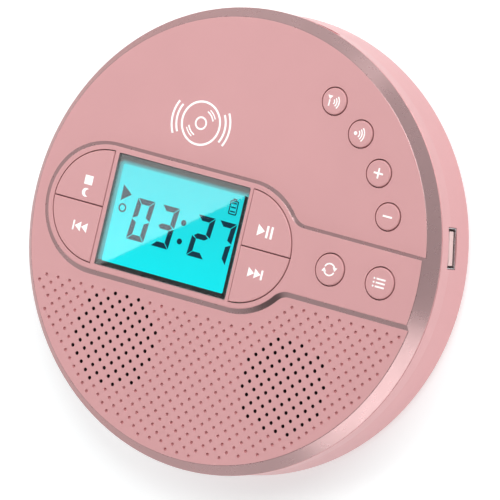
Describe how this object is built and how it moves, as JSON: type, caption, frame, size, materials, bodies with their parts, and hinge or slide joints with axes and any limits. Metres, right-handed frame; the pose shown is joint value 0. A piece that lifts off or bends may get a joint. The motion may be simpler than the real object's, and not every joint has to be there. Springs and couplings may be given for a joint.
{
  "type": "portable compact disc player",
  "caption": "Round portable disc player with a hinged lid, backlit display, press keys, twin speaker grilles and a spinning disc drive inside.",
  "frame": {"origin": "on the surface the feet stand on, below the turntable's axis", "axes": "+Z out of the lid's face, +Y towards the hinge and the top of the printed symbols, +X towards the side with the large USB socket"},
  "size_m": [0.15, 0.15, 0.0295],
  "materials": {
    "pink_shell": "satin pink moulded plastic with a slight pearl",
    "pink_keys": "satin pink moulded keys with white printed symbols",
    "display_window": "clear acrylic window",
    "lcd": "cyan backlit liquid crystal panel with dark segments",
    "circuit_board": "green solder mask",
    "black_plastic": "matt black moulding",
    "white_plastic": "natural white acetal",
    "rubber": "dark rubber",
    "steel": "bright plated steel",
    "zinc_plate": "zinc-plated sheet steel",
    "lens_glass": "coated optical lens",
    "battery_wrap": "blue shrink wrap"
  },
  "bodies": {
    "base": {"base_shell": "pink_shell", "foot_1": "rubber", "foot_2": "rubber", "foot_3": "rubber", "foot_4": "rubber", "base_screw_1": "steel", "base_screw_2": "steel", "base_screw_3": "steel", "base_screw_4": "steel", "hinge_pin": "steel", "disc_bay": "pink_shell", "lid_switch": "black_plastic", "mech_chassis": "zinc_plate", "damper_1": "rubber", "damper_2": "rubber", "damper_3": "rubber", "spindle_motor": "steel", "guide_rod": "steel", "sled_motor": "steel", "battery_pack": "battery_wrap", "main_board": "circuit_board", "usb_a_port": "steel", "port_board": "circuit_board", "headphone_jack": "black_plastic", "usb_c_port": "steel", "latch_spring": "steel"},
    "lid": {"lid_shell": "pink_shell", "display_lens": "display_window", "lcd_module": "lcd", "keypad_board": "circuit_board", "speaker_left": "black_plastic", "speaker_right": "black_plastic", "lid_inner_cover": "pink_shell", "lid_screw_1": "steel", "lid_screw_2": "steel", "lid_screw_3": "steel", "lid_screw_4": "steel"},
    "latch": {"latch_slider": "pink_shell"},
    "power_switch": {"power_switch_knob": "pink_shell"},
    "lid_sensor": {"lid_switch_plunger": "white_plastic"},
    "turntable": {"turntable": "black_plastic"},
    "sled": {"pickup_sled": "black_plastic"},
    "lens": {"objective_lens": "lens_glass"},
    "lead_screw": {"lead_screw": "steel"},
    "chuck_ball_1": {"chuck_ball_1": "steel"},
    "chuck_ball_2": {"chuck_ball_2": "steel"},
    "chuck_ball_3": {"chuck_ball_3": "steel"},
    "button_stop": {"button_stop": "pink_keys"},
    "button_previous": {"button_previous": "pink_keys"},
    "button_play_pause": {"button_play_pause": "pink_keys"},
    "button_next": {"button_next": "pink_keys"},
    "button_fm_radio": {"button_fm_radio": "pink_keys"},
    "button_wireless": {"button_wireless": "pink_keys"},
    "button_volume_up": {"button_volume_up": "pink_keys"},
    "button_volume_down": {"button_volume_down": "pink_keys"},
    "button_repeat_program": {"button_repeat_program": "pink_keys"},
    "button_function": {"button_function": "pink_keys"}
  },
  "joints": [
    {"name": "lid_hinge", "type": "hinge", "parent": "base", "child": "lid", "pos_m": [0, 0.0726, 0.0216], "axis": [-1, 0, 0], "range_deg": [0, 85]},
    {"name": "latch_slide", "type": "slide", "parent": "base", "child": "latch", "axis": [1, 0, 0], "range_m": [0, 0.004], "stiffness_N_per_m": 250},
    {"name": "power_slide", "type": "slide", "parent": "base", "child": "power_switch", "axis": [0, 1, 0], "range_m": [-0.0015, 0.0015]},
    {"name": "lid_sensor_press", "type": "slide", "parent": "base", "child": "lid_sensor", "axis": [0, 0, -1], "range_m": [0, 0.0008], "stiffness_N_per_m": 200},
    {"name": "turntable_spin", "type": "hinge", "parent": "base", "child": "turntable", "pos_m": [0, 0, 0.0154], "axis": [0, 0, 1], "continuous": true},
    {"name": "sled_travel", "type": "slide", "parent": "base", "child": "sled", "axis": [0, -1, 0], "range_m": [0, 0.031]},
    {"name": "lead_screw_spin", "type": "hinge", "parent": "base", "child": "lead_screw", "pos_m": [0.02, -0.037, 0.0092], "axis": [0, -1, 0], "range_deg": [-10, 3730]},
    {"name": "lens_focus", "type": "slide", "parent": "sled", "child": "lens", "axis": [0, 0, 1], "range_m": [-0.0005, 0.0005], "stiffness_N_per_m": 60},
    {"name": "chuck_ball_1_press", "type": "slide", "parent": "turntable", "child": "chuck_ball_1", "axis": [0, -1, 0], "range_m": [0, 0.0005], "stiffness_N_per_m": 300},
    {"name": "chuck_ball_2_press", "type": "slide", "parent": "turntable", "child": "chuck_ball_2", "axis": [0.866, 0.5, 0], "range_m": [0, 0.0005], "stiffness_N_per_m": 300},
    {"name": "chuck_ball_3_press", "type": "slide", "parent": "turntable", "child": "chuck_ball_3", "axis": [-0.866, 0.5, 0], "range_m": [0, 0.0005], "stiffness_N_per_m": 300},
    {"name": "button_stop_press", "type": "slide", "parent": "lid", "child": "button_stop", "axis": [0, 0, -1], "range_m": [0, 0.0005], "stiffness_N_per_m": 400},
    {"name": "button_previous_press", "type": "slide", "parent": "lid", "child": "button_previous", "axis": [0, 0, -1], "range_m": [0, 0.0005], "stiffness_N_per_m": 400},
    {"name": "button_play_pause_press", "type": "slide", "parent": "lid", "child": "button_play_pause", "axis": [0, 0, -1], "range_m": [0, 0.0005], "stiffness_N_per_m": 400},
    {"name": "button_next_press", "type": "slide", "parent": "lid", "child": "button_next", "axis": [0, 0, -1], "range_m": [0, 0.0005], "stiffness_N_per_m": 400},
    {"name": "button_fm_radio_press", "type": "slide", "parent": "lid", "child": "button_fm_radio", "axis": [0, 0, -1], "range_m": [0, 0.0005], "stiffness_N_per_m": 400},
    {"name": "button_wireless_press", "type": "slide", "parent": "lid", "child": "button_wireless", "axis": [0, 0, -1], "range_m": [0, 0.0005], "stiffness_N_per_m": 400},
    {"name": "button_volume_up_press", "type": "slide", "parent": "lid", "child": "button_volume_up", "axis": [0, 0, -1], "range_m": [0, 0.0005], "stiffness_N_per_m": 400},
    {"name": "button_volume_down_press", "type": "slide", "parent": "lid", "child": "button_volume_down", "axis": [0, 0, -1], "range_m": [0, 0.0005], "stiffness_N_per_m": 400},
    {"name": "button_repeat_program_press", "type": "slide", "parent": "lid", "child": "button_repeat_program", "axis": [0, 0, -1], "range_m": [0, 0.0005], "stiffness_N_per_m": 400},
    {"name": "button_function_press", "type": "slide", "parent": "lid", "child": "button_function", "axis": [0, 0, -1], "range_m": [0, 0.0005], "stiffness_N_per_m": 400}
  ],
  "couplings": [
    {"joint": "lead_screw_spin", "follows": "sled_travel", "rad_per_m": 2094.4}
  ]
}
